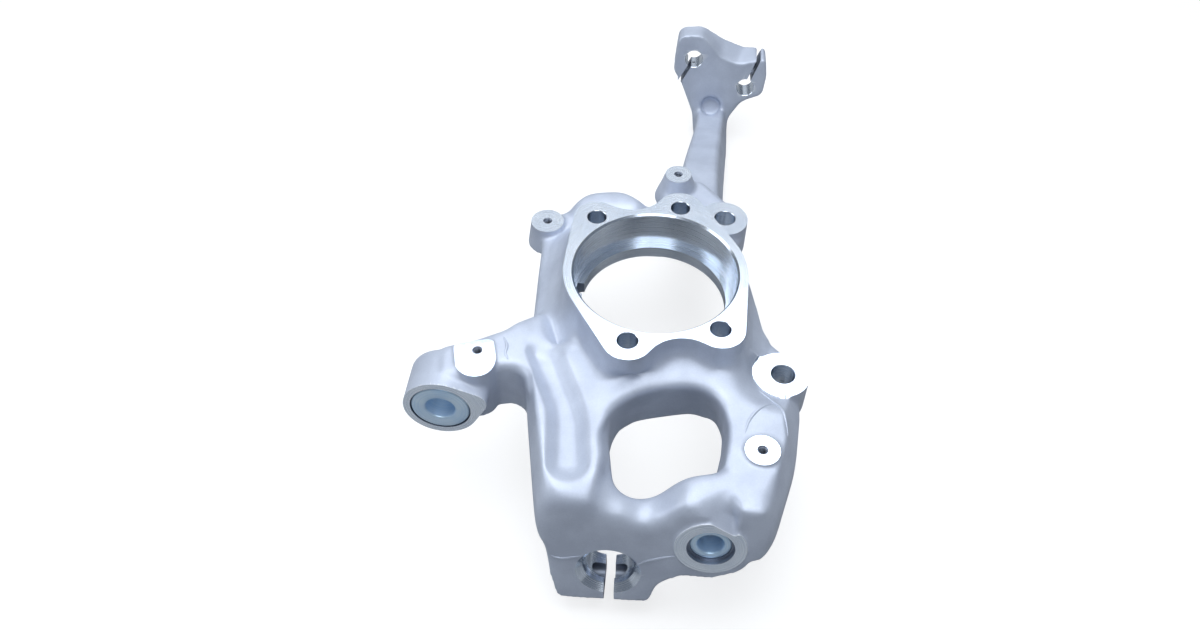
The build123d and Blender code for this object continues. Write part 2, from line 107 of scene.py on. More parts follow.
# %% [markdown]
# ## Turned shapes
# Nearly every machined face and hole of the part is round. Each could be a cylinder from Blender's
# menu, but a drilled hole has a chamfer, a step or a point, so one helper spins a profile into a plug
# or a cutting tool, and blocks and prisms are left for the slits and the pad. A profile is a list of
# radius and height pairs in millimetres, and a place is a matrix that puts local z on a hole's axis.

# %% Helpers that make and place plain meshes
ROUND_STEPS = 96


def object_of(name, mesh):
    """Links a mesh into the scene as an object."""
    made = bpy.data.objects.new(name, mesh)
    bpy.context.scene.collection.objects.link(made)
    return made


def finished(bm, name):
    """Turns a bmesh into an object."""
    mesh = bpy.data.meshes.new(name)
    bm.to_mesh(mesh)
    bm.free()
    return object_of(name, mesh)


def applied(source, name):
    """The plain mesh that an object and its modifiers give, as a new object in place of it."""
    mesh = bpy.data.meshes.new_from_object(source.evaluated_get(bpy.context.evaluated_depsgraph_get()))
    bpy.data.objects.remove(source)
    return object_of(name, mesh)


def place(point, axis=(0, 0, 1)):
    """The matrix that takes local z to an axis and keeps local x as near to the world's x as it can."""
    up, side = Vector(axis).normalized(), Vector((1, 0, 0))
    across = (side - up * up.dot(side)).normalized()
    basis = Matrix((across, up.cross(across), up)).transposed().to_4x4()
    return Matrix.Translation(Vector(point)) @ basis


def round_spot(at, r, z, angle):
    """The point at a radius, a height and an angle round the axis of a place."""
    return at @ (Vector((r * math.cos(angle), r * math.sin(angle), z)) * MM)


def turned(bm, profile, at, steps=ROUND_STEPS):
    """Adds the closed solid that a profile of radii and heights sweeps about local z."""
    rings = []
    for r, z in profile:
        angles = [2 * math.pi * i / steps for i in range(steps if r else 1)]
        rings.append([bm.verts.new(round_spot(at, r, z, a)) for a in angles])
    for low, high in zip(rings, rings[1:]):
        for i in range(steps):
            j = i + 1
            ends = (low[i % len(low)], low[j % len(low)], high[j % len(high)], high[i % len(high)])
            bm.faces.new(list(dict.fromkeys(ends)))


def block(bm, low, high, at):
    """Adds a box between two corners, in millimetres, in the local frame of a place."""
    low, high = Vector(low) * MM, Vector(high) * MM
    shape = Matrix.Translation((low + high) / 2) @ Matrix.Diagonal((*(high - low), 1))
    bmesh.ops.create_cube(bm, size=1, matrix=at @ shape)


def prism(bm, outline, low, high, at):
    """Adds the solid between two heights over an outline of points in local x and y."""
    ends = [[bm.verts.new(at @ (Vector((x, y, z)) * MM)) for x, y in outline] for z in (low, high)]
    bm.faces.new(reversed(ends[0]))
    bm.faces.new(ends[1])
    for i in range(len(outline)):
        j = (i + 1) % len(outline)
        bm.faces.new([ends[0][i], ends[0][j], ends[1][j], ends[1][i]])


print("sides of a turned shape:", ROUND_STEPS)

# %% [markdown]
# ## What is machined, and where
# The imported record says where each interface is, which way it points and how wide it is. A few
# depths that only a section drawing would show are named here. A place that lies in a machined face
# is the mount's own place, lifted along its axis to the face.

# %% The faces that carry the machining
HUB_FACE_R = 85.0
BEARING_DEPTH = 25.0
LIP_BACK = 33.0
MOUTH_CHAMFER = 1.2
HUB_SEAT_R = 9.5
HUB_SEAT_Z = -24.0
SENSOR_SLOT_TURN = math.radians(161)
SENSOR_SLOT_HALF = 4.5
SENSOR_SLOT_REACH = 50.5
CALIPER_SPOT_R = 18.25
CALIPER_BOSS_DEEP = 26.5
FLANGE_THICK = 25.0
CLAMP_MOUTH = (19.0, 4.0)
CLAMP_SLIT_HALF = 3.0
JOINT_PROUD = 1.5
JOINT_SEAT_R = 11.81
JOINT_STEP = (13.25, 1.5)
TIE_SEAT_R = 18.01
TIE_GROOVE = (18.65, 3.0)
TIE_BOSS_LONG = 30.0
HEAD_THICK = 22.0
HEAD_SLOT_HALF = 1.6
TAP_DEEP = 14.0
TAP_FACES = {
    "tapped_boss_upper_left": 13.0,
    "tapped_boss_upper_right": 10.8,
    "tapped_boss_lower": 11.5,
}
UP = Vector((0, 0, 1))


def mount_place(name, lift=0.0, flip=1):
    """The place of a mount, its axis turned round where flip is -1, moved along that axis."""
    axis = Vector(MOUNTS[name]["axis"]).normalized() * flip
    return place(Vector(MOUNTS[name]["pos_m"]) + axis * lift * MM, axis)


def pattern_places(name):
    """The places of the holes of a bolt pattern."""
    mount = MOUNTS[name]
    xs = [s * mount["dims"].get("spacing_x_mm", 0) / 2 for s in (-1, 1)]
    ys = [s * mount["dims"].get("spacing_y_mm", 0) / 2 for s in (-1, 1)]
    return [place(Vector(mount["pos_m"]) + Vector((x, y, 0)) * MM) for x in sorted(set(xs)) for y in ys]


def size_of(name, key="r_mm"):
    """A size that the record states for a mount, in millimetres."""
    return MOUNTS[name]["dims"][key]


HUB = place((0, 0, 0))
HUB_HOLES = pattern_places("hub_bolts")
CALIPER_HOLES = pattern_places("caliper_bolts")
FLANGE = mount_place("bottom_clamp", CLAMP_MOUTH[1] + size_of("bottom_clamp", "length_mm") / 2)
JOINT_LIFT = JOINT_STEP[1] + (FLANGE_THICK - JOINT_STEP[1]) / 2
JOINT = mount_place("ball_joint_bore", JOINT_LIFT)
TIE = mount_place("tie_rod_bore", TIE_BOSS_LONG / 2)
HEAD_BORES = [mount_place(name, HEAD_THICK / 2, -1) for name in ("upper_clamp_left", "upper_clamp_right")]
HEAD_SLOT_TURNS = [math.radians(240), math.radians(68)]
HEAD_SLOT_RUNS = [24.0, 26.0]
TAPS = [mount_place(name) for name in TAP_FACES] + [mount_place("tapped_pad_tie_rod_arm")]
PAD = place(Vector((-117.5, -38.5, -21.0)) * MM)
PAD_R = 12.6
PAD_UP = 14.9
BOLT_LOW = mount_place("bottom_clamp_bolt")
BOLT_HIGH = mount_place("upper_clamp_bolt")
print("hub holes:", len(HUB_HOLES), "caliper holes:", len(CALIPER_HOLES), "tapped holes:", len(TAPS))

# %% [markdown]
# ## The rough casting
# A voxel remesh will turn the sharp CAD solid into one even skin, and smoothing will round every
# corner as a mould does. Bevels could do that too, but they fail where so many corners run together.
# The smoothing must not reach the machined faces, so each gets stock on top first, as a real rough
# casting has. The stock is grown straight out of the CAD facets that lie in a machined face.

# %% Stock on the machined faces
STOCK = 4.0
STOCK_ROOT = 1.0
FACE_TOLERANCE = 0.02
ALIGNED = 0.999
STOCKED = [(HUB, HUB_FACE_R)] + [(at, 22) for at in CALIPER_HOLES] + [(at, 15) for at in TAPS[:3]]
STOCKED += [(PAD, 20), (JOINT @ Matrix.Translation((0, 0, JOINT_PROUD * MM)), 24), (TIE, 40)]


def merged_copy(node):
    """A copy of a CAD node's mesh as a bmesh, with its loose triangles joined."""
    bm = bmesh.new()
    bm.from_mesh(frame["nodes"][node].data)
    bmesh.ops.remove_doubles(bm, verts=bm.verts, dist=1e-6)
    bm.normal_update()
    return bm


def stock_on(bm, source, at, reach):
    """Grows a prism out of the facets of a mesh that lie in a place's plane, within reach of it."""
    point, axis = at.translation, at.to_3x3() @ UP
    flat = [
        face for face in source.faces
        if face.normal.dot(axis) > ALIGNED
        and abs((face.verts[0].co - point).dot(axis)) < FACE_TOLERANCE * MM
        and all((v.co - point).length < reach * MM for v in face.verts)
    ]
    inside = set(flat)
    low, high = {}, {}
    for face in flat:
        for v in face.verts:
            if v not in low:
                low[v] = bm.verts.new(v.co - axis * STOCK_ROOT * MM)
                high[v] = bm.verts.new(v.co + axis * STOCK * MM)
        bm.faces.new([high[v] for v in face.verts])
        bm.faces.new([low[v] for v in reversed(face.verts)])
    for face in flat:
        for loop in face.loops:
            if not any(other in inside for other in loop.edge.link_faces if other is not face):
                a, b = loop.vert, loop.link_loop_next.vert
                bm.faces.new([low[a], low[b], high[b], high[a]])
    return len(flat)


rough = merged_copy("knuckle_casting")
stock = bmesh.new()
print("facets under each stock:", [stock_on(stock, rough, at, reach) for at, reach in STOCKED])

# %% [markdown]
# A foundry casts small holes solid and drills them later, so the holes of the CAD solid are plugged
# before the remesh. A plug is a turned solid or a block, a little wider than its hole. In a through
# hole it ends at the far side or just short of it, so that it can't stand out there.

# %% Plugs in every hole
MARGIN = 0.8
BOSS_STOP, FLANGE_STOP, SLIT_STOP, TIE_STOP = 2.0, 1.0, 0.4, 1.5
TAP_POINT = 2.0
SLIT_PLUG_LONG = 25.6
LOW_ENDS = (-44.0, 11.5)
HIGH_ENDS = (-31.5, 44.5)


def turn_list(bm, profile, places):
    """Turns the same profile at several places."""
    for at in places:
        turned(bm, profile, at)


def rod(bm, r, low, high, places):
    """Adds a plain round rod between two heights at each place."""
    turn_list(bm, [(0, low), (r, low), (r, high), (0, high)], places)


plugs = bmesh.new()
rod(plugs, size_of("bearing_bore") + MOUTH_CHAMFER + MARGIN, -LIP_BACK, STOCK, [HUB])
rod(plugs, size_of("hub_bolts", "hole_r_mm") + MARGIN, HUB_SEAT_Z, STOCK, HUB_HOLES)
caliper_r = size_of("caliper_bolts", "hole_r_mm") + MARGIN
rod(plugs, caliper_r, BOSS_STOP - CALIPER_BOSS_DEEP, STOCK, CALIPER_HOLES)
rod(plugs, size_of("tapped_boss_lower") + MARGIN, -TAP_DEEP - TAP_POINT, STOCK, TAPS)
mouth_r, mouth_deep = CLAMP_MOUTH
clamp_r = size_of("bottom_clamp") + MARGIN
clamp_end = FLANGE_STOP - FLANGE_THICK
turned(plugs, [
    (0, clamp_end), (clamp_r, clamp_end), (clamp_r, -mouth_deep), (mouth_r + MARGIN, 0), (0, 0),
], FLANGE)
slit_half = CLAMP_SLIT_HALF + MARGIN
block(plugs, (-slit_half, -SLIT_PLUG_LONG, SLIT_STOP - FLANGE_THICK), (slit_half, 0, 0), FLANGE)
rod(plugs, JOINT_STEP[0] + MARGIN, clamp_end, JOINT_PROUD + STOCK, [JOINT])
rod(plugs, TIE_GROOVE[0] + MARGIN, TIE_STOP - TIE_BOSS_LONG, STOCK, [TIE])
head_r, slot_half = size_of("upper_clamp_left") + MARGIN, HEAD_SLOT_HALF + MARGIN
for at, turn, run in zip(HEAD_BORES, HEAD_SLOT_TURNS, HEAD_SLOT_RUNS):
    rod(plugs, head_r, -HEAD_THICK, 0, [at])
    block(plugs, (0, -slot_half, -HEAD_THICK), (run, slot_half, 0), at @ Matrix.Rotation(turn, 4, "Z"))
bolt_r = size_of("bottom_clamp_bolt") + MARGIN
rod(plugs, bolt_r, *LOW_ENDS, [BOLT_LOW])
rod(plugs, bolt_r, *HIGH_ENDS, [BOLT_HIGH])
print("plug faces:", len(plugs.faces))

# %% [markdown]
# Round the top and the right of the window the metal stands further in at the front than at the
# back, so that it hangs over the opening as a brow. Pushing the skin's points would tear it into
# bumps here, so the brow is laid on before the remesh, as a strip of clay: at each station it has a
# point on the front rim, a point on the back rim, a depth into the metal and the height of its outer
# edge. A second lump of clay eases the step at the back of the window's sill.

# %% The brow round the window
BROW_MIDDLE = Vector((-12, -108))
BROW_FRONT_Z, BROW_BACK_Z = -21.0, -61.0
BROW = [
    ((-50, -98), (-47, -99), 5, -21), ((-45, -89.5), (-41, -84), 8, -21),
    ((-37, -82), (-35, -75.5), 13, -20.5), ((-26, -77.5), (-24, -70), 19, -18),
    ((-14, -76), (-10, -69), 21, -15), ((-4, -76.5), (0, -69), 22, -13.5),
    ((6, -78), (10, -69.5), 24, -13.5), ((15, -82), (19, -71.5), 24, -17),
    ((20, -91), (25, -80), 22, -20.5), ((21.5, -100), (25.5, -92), 20, -21),
    ((21, -110), (21.5, -104), 18, -21), ((18.5, -119), (17, -113), 15, -21),
    ((15.5, -127), (13, -121), 12, -21.5), ((11.5, -135), (10, -131), 9, -23),
]
SILL_LUMP = [(-10, -129), (-3, -129.5), (2, -133), (6, -140), (8, -150), (-10, -150)]
SILL_LUMP_FOOT, SILL_LUMP_TOP = -60.0, -44.0


def brow():
    """A closed strip through the stations of the brow."""
    bm = bmesh.new()
    rings = []
    for front, back, deep, high in BROW:
        out = (Vector(front) - BROW_MIDDLE).normalized() * deep
        rim = [(*front, BROW_FRONT_Z), (*back, BROW_BACK_Z)]
        root = [(*(Vector(back) + out), BROW_BACK_Z), (*(Vector(front) + out), high)]
        rings.append([bm.verts.new(Vector(corner) * MM) for corner in rim + root])
    for ring, ahead in zip(rings, rings[1:]):
        for i in range(4):
            bm.faces.new([ring[i], ring[(i + 1) % 4], ahead[(i + 1) % 4], ahead[i]])
    bm.faces.new(rings[0])
    bm.faces.new(rings[-1])
    return bm


clay = brow()
prism(clay, SILL_LUMP, SILL_LUMP_FOOT, SILL_LUMP_TOP, HUB)
print("stations of the brow:", len(BROW), "faces of clay:", len(clay.faces))

# %% [markdown]
# The CAD copy, the stock, the plugs and the clay overlap. Boolean unions could join them one after
# another, but the voxel remesh does it in one step: it keeps only their common outside, in even faces
# that smooth well. A voxel of one millimetre keeps the pocket, the dish and the small bosses.

# %% One smooth skin
VOXEL = 1.0


def joined(parts, name):
    """One object from several bmeshes, which are freed."""
    whole = bmesh.new()
    for part in parts:
        bmesh.ops.recalc_face_normals(part, faces=part.faces)
        loose = bpy.data.meshes.new("loose")
        part.to_mesh(loose)
        part.free()
        whole.from_mesh(loose)
        bpy.data.meshes.remove(loose)
    return finished(whole, name)


skin = joined([rough, stock, plugs, clay], "skin")
remesh = skin.modifiers.new("even faces", "REMESH")
remesh.mode = "VOXEL"
remesh.voxel_size = VOXEL * MM
skin = applied(skin, "skin")
print("faces of the skin:", len(skin.data.polygons))

# %% [markdown]
# Two places are planed down, as a pattern maker would. A Boolean cut would leave a hard edge round
# them, so instead the points of the skin that stand proud of a surface are pressed down to it, with a
# share that fades out. The corner at the column's foot becomes a long soft slope, and the frame
# beside the lower caliper boss falls away in a cone, so that the boss stands free.

# %% Planing
FOOT_PLANE_AT = Vector((-80, -130, -21))
FOOT_PLANE_OUT = Vector((-0.06, -0.37, 0.92)).normalized()
FOOT_FROM_X, FOOT_TO_X = -52, -38
FOOT_TOP_Y = -120
CONE_AT = CALIPER_HOLES[0].translation / MM
CONE_R, CONE_REACH, CONE_FADE = 17.8, 42.0, 0.6
CONE_SLOPE, CONE_SLOPE_TO_HUB = 0.5, 2.5
CONE_DROP = 1.0
CONE_TOP_Z = -3
LEAST_PUSH = 0.01


def eased(value, start, end):
    """Runs smoothly from 0 at a start to 1 at an end."""
    t = min(1.0, max(0.0, (value - start) / (end - start)))
    return t * t * (3 - 2 * t)


def press(spot):
    """How far the planing moves a point, all in millimetres."""
    if spot.y < FOOT_TOP_Y and spot.x < FOOT_TO_X:
        proud = (spot - FOOT_PLANE_AT).dot(FOOT_PLANE_OUT)
        share = 1 - eased(spot.x, FOOT_FROM_X, FOOT_TO_X)
        return FOOT_PLANE_OUT * -max(0.0, proud) * share
    off = (spot - CONE_AT).xy
    if CONE_R < off.length < CONE_REACH and spot.z < CONE_TOP_Z:
        to_hub = max(0.0, -off.normalized().dot(CONE_AT.xy.normalized()))
        slope = CONE_SLOPE + CONE_SLOPE_TO_HUB * to_hub ** 3
        top = CONE_AT.z - CONE_DROP + (off.length - CONE_R) * slope
        share = 1 - eased(off.length, CONE_FADE * CONE_REACH, CONE_REACH)
        return Vector((0, 0, -max(0.0, spot.z - top) * share))
    return Vector((0, 0, 0))


moved = 0
for v in skin.data.vertices:
    push = press(v.co / MM)
    if push.length > LEAST_PUSH:
        v.co += push * MM
        moved += 1
print("vertices planed:", moved)

# %% [markdown]
# A mould has small radii round its bosses and large ones where the metal has to flow, such as the
# frame round the window, the foot of the column and the sill. One smoothing all over would give
# every corner the same radius. So the skin is smoothed zone by zone, each zone with its own number of
# passes, and then lightly all over, like shot blasting. A zone is an ellipsoid whose weight fades out
# at its surface, near the flange and round the bosses.

# %% Large radii by zone, small radii everywhere
SOFT_ZONES = [
    ("frame", (-30, -110, -45), (95, 85, 42), 60),
    ("column foot", (-84, -150, -42), (42, 36, 44), 260),
    ("sill", (-22, -150, -42), (52, 30, 30), 260),
    ("brow", (-2, -74, -24), (56, 28, 20), 170),
    ("arm root", (-66, -16, -24), (24, 26, 24), 260),
    ("frame corner", (46, -158, -50), (34, 40, 36), 160),
    ("frame end", (22, -166, -34), (26, 24, 26), 120),
    ("hump", (-12, 100, -35), (44, 30, 26), 300),
    ("boss root", (24, 122, -42), (26, 24, 14), 160),
    ("head", (115, 280, -98), (60, 60, 34), 26),
    ("arm", (95, 190, -75), (40, 70, 34), 30),
]
KEEP_CLEAR = [(at, 19.5) for at in CALIPER_HOLES]
KEEP_CLEAR += [(TAPS[2], 15.0), (PAD, 17.0), (JOINT, 24.0), (FLANGE, 22.0)]
FADE = 6.0
FLARE_TOP_Z, FLARE_FADE = -6.0, (78, 92)
ZONE_EDGE = 4
BLAST_STEPS = 14
SKIN_TRIANGLES = 165000


def softness(co, middle, reach):
    """Share of a zone's smoothing that a point gets."""
    away = Vector([(c / MM - m) / r for c, m, r in zip(co, middle, reach)]).length
    share = min(1.0, (1 - away) * ZONE_EDGE)
    if share <= 0:
        return 0.0
    if math.hypot(co.x, co.y) < HUB_FACE_R * MM:
        share = min(share, max(eased(-co.y / MM, *FLARE_FADE), (FLARE_TOP_Z - co.z / MM) / FADE))
    for at, r in KEEP_CLEAR:
        share = min(share, max(0.0, ((co - at.translation).length / MM - r) / FADE))
    return share


def weigh(target, name, middle, reach, steps=10):
    """Stores the softness of every vertex in a vertex group, in a few even steps."""
    levels = [[] for _ in range(steps + 1)]
    for v in target.data.vertices:
        levels[round(softness(v.co, middle, reach) * steps)].append(v.index)
    group = target.vertex_groups.new(name=name)
    for level, members in enumerate(levels):
        if level and members:
            group.add(members, level / steps, "REPLACE")
    return sum(len(members) for members in levels[1:])


for label, middle, reach, _ in SOFT_ZONES:
    print("vertices softened in", label, "zone:", weigh(skin, label, middle, reach))
for label, steps in [(zone[0], zone[3]) for zone in SOFT_ZONES] + [("", BLAST_STEPS)]:
    smooth = skin.modifiers.new(label or "blasting", "SMOOTH")
    smooth.factor = 0.5
    smooth.iterations = steps
    smooth.vertex_group = label
skin = applied(skin, "skin")
thin = skin.modifiers.new("thinning", "DECIMATE")
thin.ratio = SKIN_TRIANGLES / (2 * len(skin.data.polygons))
skin = applied(skin, "skin")
print("faces kept:", len(skin.data.polygons))

# %% [markdown]
# ## Machining
# Bright faces could be painted on with a mask, but a real cut also has an edge where it runs out of
# the casting. So the metal is really cut away, by cutters in the shape of mills, drills and saws.
# Cutters that cross each other are kept apart, since the solver expects clean closed tools.

# %% The cutters
BREAK, TAP_BREAK = 0.3, 0.6
OVER = 8.0
DRILL_POINT = 0.58
SPOT_ROOM = 0.6
JOINT_FACE_R, TIE_FACE_R = 20.8, 32.0
PAD_STEPS = 24
SEAT_END_Z = -66
SLIT_LONG, HEAD_SLOT_LONG = 44, 45
SENSOR_SLOT_FROM = 40
SKIM = 1.0
LOW_DRILL, HIGH_DRILL = (-60, 30), (-60, 70)


def hole(r, deep, mouth=BREAK):
    """Profile of a drill that breaks the edge of its hole with a small chamfer."""
    return [(0, -deep), (r, -deep), (r, -mouth), (r + mouth, 0), (r + mouth, OVER), (0, OVER)]


def blind_hole(r, deep, mouth=BREAK):
    """Profile of a drill with a pointed tip."""
    return [(0, -deep - DRILL_POINT * r)] + hole(r, deep, mouth)[1:]


def milling(bm):
    """Faces milled flat, with the bearing seat that is bored in the same setting."""
    seat_r, lip_r = size_of("bearing_bore"), size_of("axle_opening")
    turned(bm, [
        (0, -LIP_BACK - OVER), (lip_r, -LIP_BACK - OVER), (lip_r, -BEARING_DEPTH),
        (seat_r, -BEARING_DEPTH), (seat_r, -MOUTH_CHAMFER), (seat_r + MOUTH_CHAMFER, 0),
        (HUB_FACE_R, 0), (HUB_FACE_R, OVER), (0, OVER),
    ], HUB, 2 * ROUND_STEPS)
    rod(bm, CALIPER_SPOT_R + SPOT_ROOM, 0, OVER, CALIPER_HOLES)
    for at, r in zip(TAPS, TAP_FACES.values()):
        rod(bm, r, 0, OVER, [at])
    rod(bm, JOINT_FACE_R, JOINT_PROUD, OVER, [JOINT])
    rod(bm, TIE_FACE_R, 0, OVER, [TIE])


def pad_milling(bm):
    """The pad on the tie-rod arm: round below and straight above, milled in one stroke."""
    turns = [math.pi * (1 + i / PAD_STEPS) for i in range(PAD_STEPS + 1)]
    outline = [(PAD_R * math.cos(a), PAD_R * math.sin(a)) for a in turns]
    prism(bm, outline + [(PAD_R, PAD_UP), (-PAD_R, PAD_UP)], 0, OVER, PAD)


def drilling(bm):
    """Every hole with its broken edge."""
    seat = [(0, SEAT_END_Z), (HUB_SEAT_R, SEAT_END_Z), (HUB_SEAT_R, HUB_SEAT_Z)]
    turn_list(bm, seat + hole(size_of("hub_bolts", "hole_r_mm"), -HUB_SEAT_Z)[1:], HUB_HOLES)
    caliper_hole = hole(size_of("caliper_bolts", "hole_r_mm"), CALIPER_BOSS_DEEP + OVER)
    turn_list(bm, caliper_hole, CALIPER_HOLES)
    r, (mouth_r, mouth_deep) = size_of("bottom_clamp"), CLAMP_MOUTH
    turned(bm, [
        (0, -FLANGE_THICK - OVER), (r, -FLANGE_THICK - OVER), (r, -mouth_deep), (mouth_r, 0),
        (mouth_r + OVER, OVER), (0, OVER),
    ], FLANGE)
    r = size_of("upper_clamp_left")
    turn_list(bm, [
        (0, -HEAD_THICK - OVER), (r + BREAK, -HEAD_THICK - OVER), (r + BREAK, -HEAD_THICK),
        (r, BREAK - HEAD_THICK), (r, -BREAK), (r + BREAK, 0), (r + BREAK, OVER), (0, OVER),
    ], HEAD_BORES)


def seating(bm):
    """The seats of the sleeves with the groove and the counterbore round them, and the tapped holes."""
    turn_list(bm, blind_hole(size_of("tapped_boss_lower"), TAP_DEEP, TAP_BREAK), TAPS)
    step_r, step_deep = JOINT_STEP
    turned(bm, [
        (0, -FLANGE_THICK - OVER), (JOINT_SEAT_R, -FLANGE_THICK - OVER), (JOINT_SEAT_R, -step_deep),
        (step_r, -step_deep), (step_r, JOINT_PROUD - BREAK), (step_r + BREAK, JOINT_PROUD),
        (step_r + BREAK, OVER), (0, OVER),
    ], JOINT)
    groove_r, groove_deep = TIE_GROOVE
    turned(bm, [
        (0, -TIE_BOSS_LONG - OVER), (TIE_SEAT_R, -TIE_BOSS_LONG - OVER),
        (TIE_SEAT_R, -groove_deep), (groove_r, -groove_deep), (groove_r, OVER), (0, OVER),
    ], TIE)


def sawing(bm):
    """The slits of the clamps and the slot of the wheel-speed sensor."""
    block(bm, (-CLAMP_SLIT_HALF, -SLIT_LONG, -FLANGE_THICK - OVER), (CLAMP_SLIT_HALF, 0, OVER), FLANGE)
    for at, turn in zip(HEAD_BORES, HEAD_SLOT_TURNS):
        slot = (0, -HEAD_SLOT_HALF, -HEAD_THICK - OVER), (HEAD_SLOT_LONG, HEAD_SLOT_HALF, OVER)
        block(bm, *slot, at @ Matrix.Rotation(turn, 4, "Z"))
    low = (SENSOR_SLOT_FROM, -SENSOR_SLOT_HALF, -LIP_BACK - 2 * SKIM)
    high = (SENSOR_SLOT_REACH, SENSOR_SLOT_HALF, SKIM - BEARING_DEPTH)
    block(bm, low, high, HUB @ Matrix.Rotation(SENSOR_SLOT_TURN, 4, "Z"))


def cross_drilling(bm):
    """The pinch bolt holes that cross the clamps."""
    rod(bm, size_of("bottom_clamp_bolt"), *LOW_DRILL, [BOLT_LOW])
    rod(bm, size_of("upper_clamp_bolt"), *HIGH_DRILL, [BOLT_HIGH])


print("a cutter runs on past its face by", OVER, "mm")

# %% [markdown]
# Each group of cutters makes one pass, a Boolean difference. The cutters carry the machined or the
# sawn material, and the modifier hands it on to the faces that they leave behind. On the groove and
# the counterbore round the sleeves, the dark sawn tone is painted shade.

# %% Six passes
cast_metal = bpy.data.materials.new("knuckle_cast_skin")
cut_metal = bpy.data.materials.new("machined_aluminium")
sawn_metal_and_painted_shade = bpy.data.materials.new("sawn_aluminium_and_painted_shade")
for metal in (cast_metal, cut_metal, sawn_metal_and_painted_shade):
    skin.data.materials.append(metal)
PASSES = [(shapes, cut_metal) for shapes in (milling, pad_milling, drilling)]
# the seating cutters hand the dark sawn tone on to the groove and counterbore round the sleeves as painted
# shade
PASSES += [(shapes, sawn_metal_and_painted_shade) for shapes in (seating, sawing, cross_drilling)]
for shapes, metal in PASSES:
    tool = bmesh.new()
    shapes(tool)
    cutter = joined([tool], "cutter")
    cutter.data.materials.append(metal)
    cut = skin.modifiers.new("machining", "BOOLEAN")
    cut.operation = "DIFFERENCE"
    cut.solver = "MANIFOLD"
    cut.material_mode = "TRANSFER"
    cut.object = cutter
    skin = applied(skin, "skin")
    bpy.data.objects.remove(cutter)
    print(shapes.__name__, "leaves", len(skin.data.polygons), "faces")

# %% [markdown]
# ## Which tool cut which face
# A milled face shows fine rings round the axis of its tool. One ring pattern for the whole object
# would be centred on one hole only, so every machined face is told its own tool: the point and the
# direction of the tightest axis that fits are written on the faces as two attributes. A third
# attribute marks the cast skin right beside a cut, where a painted highlight lightens it.

# %% Tool attributes and the mask of a painted edge highlight
EDGE_REACH = 1.4
LONG_EDGE = 2.5
TOOL_ROOM = 0.5
TOOL_REACH = 70.0
OUT_OF_TURN = 0.08
SHARP_ANGLE = math.radians(32)
TOOLS = [(HUB, HUB_FACE_R)]
TOOLS += [(at, HUB_SEAT_R + TOOL_ROOM) for at in HUB_HOLES]
TOOLS += [(at, CALIPER_SPOT_R + TOOL_ROOM) for at in CALIPER_HOLES]
TOOLS += [(at, 13.5) for at in TAPS[:3]] + [(TAPS[3], 3.5), (PAD, PAD_R + TOOL_ROOM)]
TOOLS += [(FLANGE, 20.0), (JOINT, 22.0), (TIE, 33.0)] + [(at, 9.0) for at in HEAD_BORES]
TOOLS = [(at.translation.copy(), (at.to_3x3() @ UP).normalized(), r * MM) for at, r in TOOLS]


def tool_of(centre, normal):
    """The tightest tool axis that reaches a face and that the face is turned or faced round."""
    best = TOOLS[0]
    for point, axis, r in TOOLS:
        off = centre - point
        fits = (off - axis * off.dot(axis)).length < r and abs(off.dot(axis)) < TOOL_REACH * MM
        turned_round = abs(normal.dot(axis.cross(off).normalized())) < OUT_OF_TURN
        if fits and turned_round and r < best[2]:
            best = (point, axis, r)
    return best


def write_vectors(mesh, name, domain, vectors):
    """Stores one vector for each element of a domain."""
    layer = mesh.attributes.new(name, "FLOAT_VECTOR", domain)
    layer.data.foreach_set("vector", [c for v in vectors for c in v])


def mark_cuts(mesh):
    """Writes the tool of each machined face, and the nearness of each vertex to a cut."""
    cut_slot = [m.name for m in mesh.materials].index(cut_metal.name)
    found = [
        tool_of(f.center, f.normal) if f.material_index == cut_slot else TOOLS[0]
        for f in mesh.polygons
    ]
    write_vectors(mesh, "tool_at", "FACE", [tool[0] for tool in found])
    write_vectors(mesh, "tool_axis", "FACE", [tool[1] for tool in found])
    cast, milled = set(), set()
    for f in mesh.polygons:
        (milled if f.material_index == cut_slot else cast).update(f.vertices)
    rim = sorted(cast & milled)
    tree = kdtree.KDTree(len(rim))
    for i in rim:
        tree.insert(mesh.vertices[i].co, i)
    tree.balance()
    near = [max(0.0, 1 - tree.find(v.co)[2] / (EDGE_REACH * MM)) for v in mesh.vertices]
    for edge in mesh.edges:
        a, b = edge.vertices
        long = (mesh.vertices[a].co - mesh.vertices[b].co).length > LONG_EDGE * MM
        if long and near[a] != near[b]:
            near[a] = near[b] = 0.0
    # the nearness to a cut is the mask of a painted highlight on the cast skin
    mesh.attributes.new("painted_edge_highlight", "FLOAT", "POINT").data.foreach_set("value", near)
    return len(rim)


rim_count = mark_cuts(skin.data)
skin.data.shade_smooth()
skin.data.set_sharp_from_angle(angle=SHARP_ANGLE)
knuckle = skin
knuckle.name = "cast_knuckle"
print("vertices along the cuts:", rim_count)

# %% [markdown]
# ## Threads and parting lines
# The tapped holes carry a thread, and the joints between the mould's parts leave thin ridges on the
# casting. Both could be modelled by hand, but one repeats and the other follows a surface, which is
# what Geometry Nodes are for. Node trees can be wired by hand in the editor. Here a few helpers wire
# them, so that every value can be read, and the finishes use the same helpers later.

# %% Node helpers
def node(tree, kind, links=(), **settings):
    """A node with its properties set, its inputs linked or given values."""
    made = tree.nodes.new(kind)
    for key, value in settings.items():
        setattr(made, key, value)
    for socket, source in dict(links).items():
        if hasattr(source, "node"):
            tree.links.new(source, made.inputs[socket])
        else:
            made.inputs[socket].default_value = source
    return made


def maths(tree, operation, *values, **settings):
    """The result of a math node on a few numbers or sockets."""
    made = node(tree, "ShaderNodeMath", dict(enumerate(values)), operation=operation, **settings)
    return made.outputs[0]


